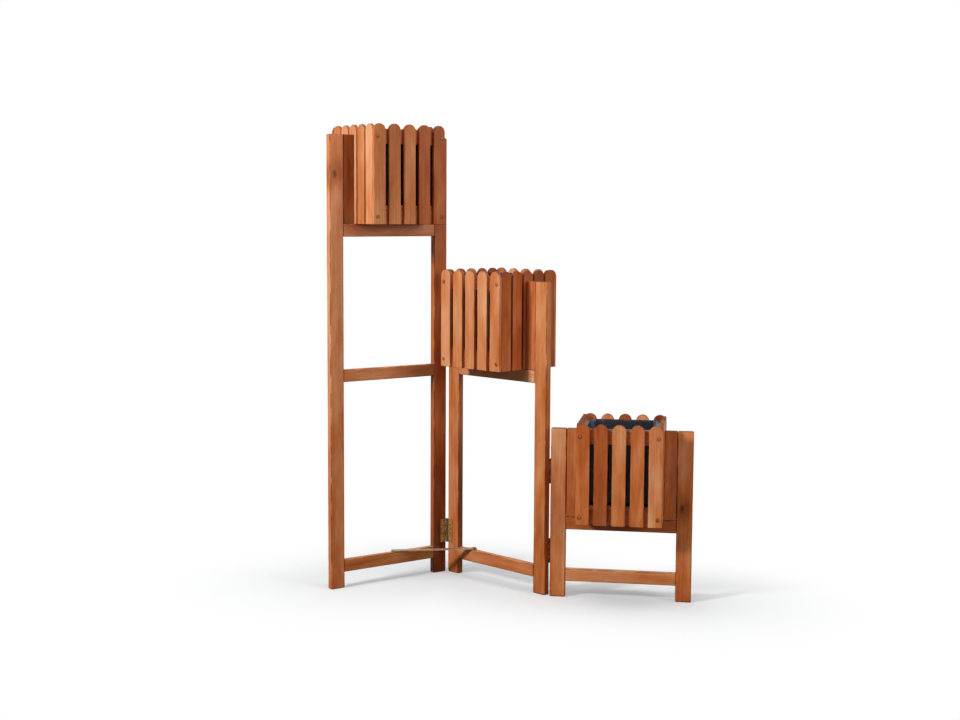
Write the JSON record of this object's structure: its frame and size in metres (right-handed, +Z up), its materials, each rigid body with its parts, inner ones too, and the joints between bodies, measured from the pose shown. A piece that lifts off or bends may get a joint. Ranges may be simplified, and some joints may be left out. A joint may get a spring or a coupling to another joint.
{
  "type": "plant ladder stand",
  "caption": "Folding zig-zag wooden plant stand: hinged ladder frames of stepped height, each with a lined picket planter box at its top, and a flat spreader bar.",
  "frame": {"origin": "on the floor, below the centre of the stand's outer box", "axes": "+Z up, +X along the middle frame's width from its left edge to its right, +Y from the middle frame's front face to its back"},
  "size_m": [0.8275, 0.6255, 1.203],
  "materials": {
    "frame_wood": "satin stain, warm red-brown fir with fine straight grain and small knots",
    "planter_wood": "satin stain, warm red-brown fir with fine straight grain",
    "liner_film": "thin glossy black film",
    "brass": "dull, slightly darkened brass plate",
    "steel": "plain zinc-plated"
  },
  "bodies": {
    "middle_frame": {"low_lower_hinge_fixed_leaf": "brass", "low_lower_hinge_pin": "brass", "low_upper_hinge_fixed_leaf": "brass", "low_upper_hinge_pin": "brass", "middle_bottom_rail": "frame_wood", "middle_left_filler": "frame_wood", "middle_left_post": "frame_wood", "middle_planter_back": "planter_wood", "middle_planter_floor": "planter_wood", "middle_planter_front": "planter_wood", "middle_planter_left_side": "planter_wood", "middle_planter_liner": "liner_film", "middle_planter_right_side": "planter_wood", "middle_right_filler": "frame_wood", "middle_right_post": "frame_wood", "middle_top_rail": "frame_wood", "spreader_screw": "brass", "spreader_washer": "steel", "tall_lower_hinge_fixed_leaf": "brass", "tall_lower_hinge_pin": "brass", "tall_upper_hinge_fixed_leaf": "brass", "tall_upper_hinge_pin": "brass"},
    "tall_frame": {"spreader_catch": "brass", "tall_bottom_rail": "frame_wood", "tall_left_filler": "frame_wood", "tall_left_post": "frame_wood", "tall_lower_hinge_swing_leaf": "brass", "tall_middle_rail": "frame_wood", "tall_planter_back": "planter_wood", "tall_planter_floor": "planter_wood", "tall_planter_front": "planter_wood", "tall_planter_left_side": "planter_wood", "tall_planter_liner": "liner_film", "tall_planter_right_side": "planter_wood", "tall_right_filler": "frame_wood", "tall_right_post": "frame_wood", "tall_top_rail": "frame_wood", "tall_upper_hinge_swing_leaf": "brass"},
    "low_frame": {"low_bottom_rail": "frame_wood", "low_left_filler": "frame_wood", "low_left_post": "frame_wood", "low_lower_hinge_swing_leaf": "brass", "low_planter_back": "planter_wood", "low_planter_floor": "planter_wood", "low_planter_front": "planter_wood", "low_planter_left_side": "planter_wood", "low_planter_liner": "liner_film", "low_planter_right_side": "planter_wood", "low_right_filler": "frame_wood", "low_right_post": "frame_wood", "low_top_rail": "frame_wood", "low_upper_hinge_swing_leaf": "brass"},
    "spreader": {"spreader_bar": "brass"}
  },
  "joints": [
    {"name": "tall_fold", "type": "hinge", "parent": "middle_frame", "child": "tall_frame", "pos_m": [-0.25185, 0.04277, 0.4], "axis": [0, 0, 1], "range_deg": [-81, 98.5]},
    {"name": "low_fold", "type": "hinge", "parent": "middle_frame", "child": "low_frame", "pos_m": [0.11015, 0.06737, 0.22], "axis": [0, 0, 1], "range_deg": [-36, 143.5]},
    {"name": "spreader_swing", "type": "hinge", "parent": "middle_frame", "child": "spreader", "pos_m": [-0.15785, 0.05507, 0.077], "axis": [0, 0, 1], "range_deg": [0, 127]}
  ]
}
